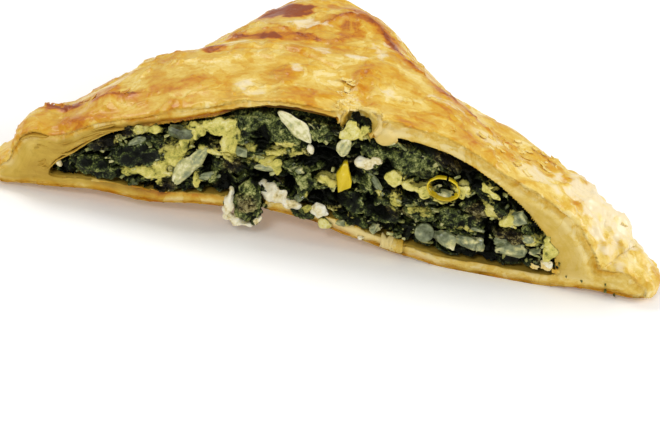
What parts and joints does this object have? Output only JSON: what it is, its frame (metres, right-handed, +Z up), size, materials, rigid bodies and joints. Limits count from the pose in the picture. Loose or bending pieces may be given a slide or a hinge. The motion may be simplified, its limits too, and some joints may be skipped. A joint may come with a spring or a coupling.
{
  "type": "spanakopita pie half",
  "caption": "Half of a baked puff-pastry parcel, cut across to show its spinach and white cheese filling.",
  "frame": {"origin": "middle of the bounding box's bottom face, on the surface that the piece rests on", "axes": "+X along the cut face, to the right when one looks at it; -Y out of the cut face; +Y towards the sealed back corner; +Z up"},
  "size_m": [0.1602, 0.1002, 0.0362],
  "materials": {
    "crust": "baked golden puff pastry, egg-washed, flaky at the cut",
    "filling": "moist chopped spinach with white cheese, egg and onion"
  },
  "bodies": {
    "root": {"pastry": "crust", "filling": "filling"}
  },
  "joints": []
}
